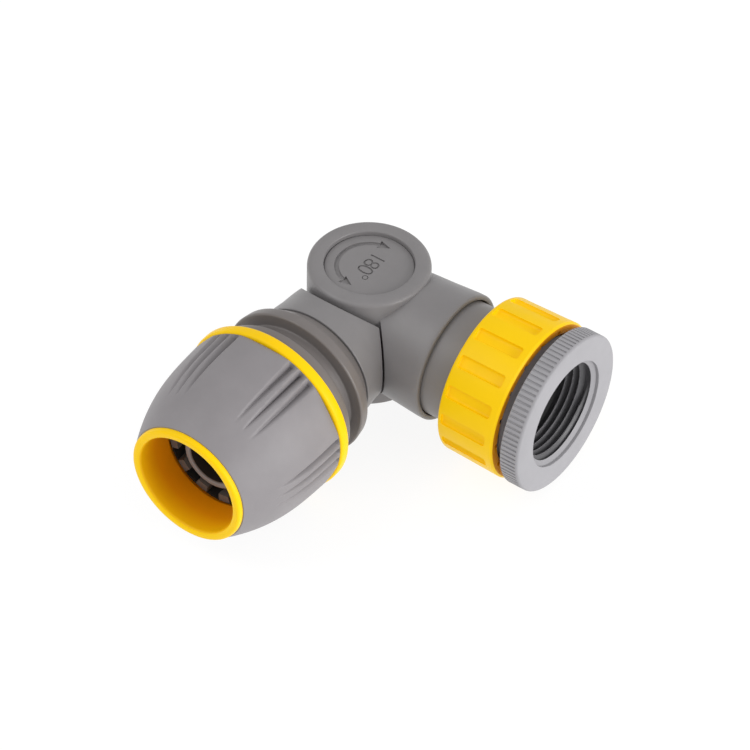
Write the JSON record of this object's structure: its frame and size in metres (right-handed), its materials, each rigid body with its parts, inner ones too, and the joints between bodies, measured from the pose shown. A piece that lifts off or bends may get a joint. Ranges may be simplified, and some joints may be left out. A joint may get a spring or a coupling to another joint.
{
  "type": "garden hose elbow coupler",
  "caption": "Swivelling elbow coupler that joins a garden hose to a tap: screwed hose nut on one arm, captive collar nut with a thread adaptor on the other.",
  "frame": {"origin": "centre of the swivel hub's flat base, on the swivel axis", "axes": "+X along the tap arm, -Y along the hose arm, +Z along the swivel axis towards the marked cap"},
  "size_m": [0.0796, 0.0924, 0.0446],
  "materials": {
    "body_grey": "moulded plastic, semi-gloss",
    "stem_grey": "moulded plastic, semi-gloss",
    "grip_grey": "soft-touch moulded plastic",
    "nut_yellow": "moulded plastic, semi-gloss",
    "collet_grey": "moulded plastic",
    "adapter_grey": "moulded plastic, semi-gloss",
    "seal_black": "moulded rubber",
    "clip_white": "moulded plastic"
  },
  "bodies": {
    "tap_side": {"tap_arm_body": "body_grey", "hub_cap": "body_grey", "tap_spigot": "body_grey", "spigot_oring": "seal_black", "collar_clip": "clip_white", "face_washer": "seal_black"},
    "hose_side": {"hose_arm_body": "body_grey", "base_cap": "body_grey", "swivel_oring_lower": "seal_black", "swivel_oring_upper": "seal_black", "swivel_washer": "clip_white", "swivel_clip": "clip_white", "hose_stem": "stem_grey", "stem_oring": "seal_black"},
    "collet": {"collet": "collet_grey"},
    "hose_nut": {"hose_nut": "nut_yellow", "nut_grip": "grip_grey"},
    "collar_nut": {"collar_nut": "nut_yellow"},
    "tap_washer": {"tap_washer": "seal_black"},
    "thread_adapter": {"thread_adapter": "adapter_grey"}
  },
  "joints": [
    {"name": "elbow_swivel", "type": "hinge", "parent": "tap_side", "child": "hose_side", "pos_m": [0, 0, 0.01665], "axis": [0, 0, 1], "range_deg": [-180, 0]},
    {"name": "collet_travel", "type": "slide", "parent": "hose_side", "child": "collet", "axis": [0, -1, 0], "range_m": [0, 0.009]},
    {"name": "hose_nut_turn", "type": "hinge", "parent": "collet", "child": "hose_nut", "pos_m": [0, -0.05, 0.01665], "axis": [0, -1, 0], "range_deg": [0, 1080]},
    {"name": "collar_turn", "type": "hinge", "parent": "tap_side", "child": "collar_nut", "pos_m": [0.0341, 0, 0.01665], "axis": [1, 0, 0], "continuous": true},
    {"name": "washer_travel", "type": "slide", "parent": "collar_nut", "child": "tap_washer", "axis": [1, 0, 0], "range_m": [0, 0.00693]},
    {"name": "adapter_turn", "type": "hinge", "parent": "tap_washer", "child": "thread_adapter", "pos_m": [0.0426, 0, 0.01665], "axis": [1, 0, 0], "range_deg": [0, 1080]}
  ],
  "couplings": [
    {"joint": "collet_travel", "follows": "hose_nut_turn", "m_per_rad": 0.00047746},
    {"joint": "washer_travel", "follows": "adapter_turn", "m_per_rad": 0.00036749}
  ]
}
